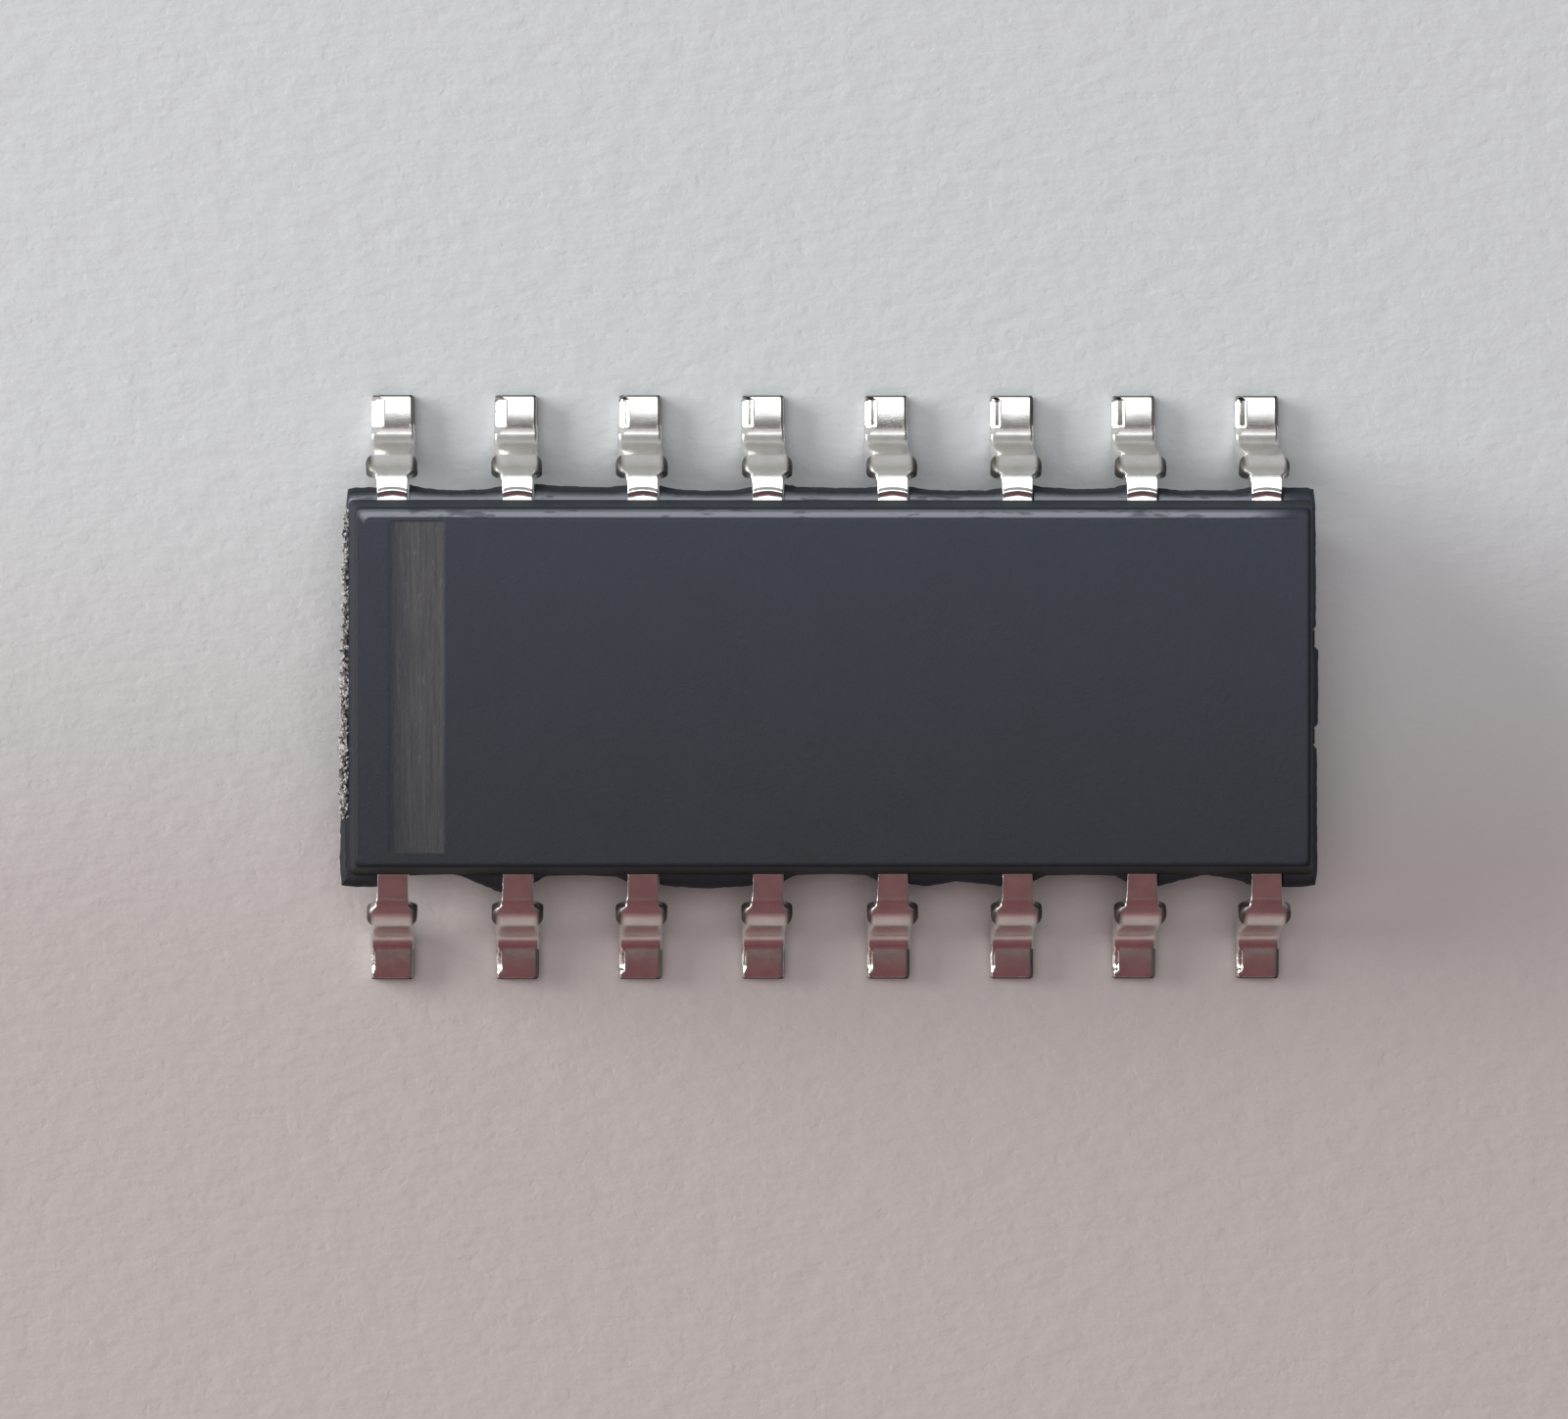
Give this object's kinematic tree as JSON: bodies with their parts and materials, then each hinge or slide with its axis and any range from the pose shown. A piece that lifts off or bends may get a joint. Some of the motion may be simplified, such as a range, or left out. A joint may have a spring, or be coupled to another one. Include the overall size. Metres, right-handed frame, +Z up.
{
  "type": "soic chip",
  "caption": "Small-outline surface-mount chip: narrow moulded body, two rows of gull-wing leads, die and bond wires inside.",
  "frame": {"origin": "on the seating plane, under the centre of the body", "axes": "+X along the body, away from the pin 1 stripe; +Z up from the board; leads 1 to 8 are on the -Y side, in order of X"},
  "size_m": [0.0099, 0.006, 0.0016],
  "materials": {
    "mould_compound": "fine matt moulding grain",
    "lead_plating": "matt tin plate, bright where it is bent",
    "leadframe_copper": "bare copper alloy with a silver flash",
    "die_adhesive": "silver-filled adhesive",
    "silicon": "polished silicon",
    "bond_wire_gold": "bright gold"
  },
  "bodies": {
    "root": {"mould_body": "mould_compound", "lead_1": "lead_plating", "lead_2": "lead_plating", "lead_3": "lead_plating", "lead_4": "lead_plating", "lead_5": "lead_plating", "lead_6": "lead_plating", "lead_7": "lead_plating", "lead_8": "lead_plating", "lead_9": "lead_plating", "lead_10": "lead_plating", "lead_11": "lead_plating", "lead_12": "lead_plating", "lead_13": "lead_plating", "lead_14": "lead_plating", "lead_15": "lead_plating", "lead_16": "lead_plating", "die_paddle": "leadframe_copper", "die_attach": "die_adhesive", "die": "silicon", "bond_wire_1": "bond_wire_gold", "bond_wire_2": "bond_wire_gold", "bond_wire_3": "bond_wire_gold", "bond_wire_4": "bond_wire_gold", "bond_wire_5": "bond_wire_gold", "bond_wire_6": "bond_wire_gold", "bond_wire_7": "bond_wire_gold", "bond_wire_8": "bond_wire_gold", "bond_wire_9": "bond_wire_gold", "bond_wire_10": "bond_wire_gold", "bond_wire_11": "bond_wire_gold", "bond_wire_12": "bond_wire_gold", "bond_wire_13": "bond_wire_gold", "bond_wire_14": "bond_wire_gold", "bond_wire_15": "bond_wire_gold", "bond_wire_16": "bond_wire_gold"}
  },
  "joints": []
}
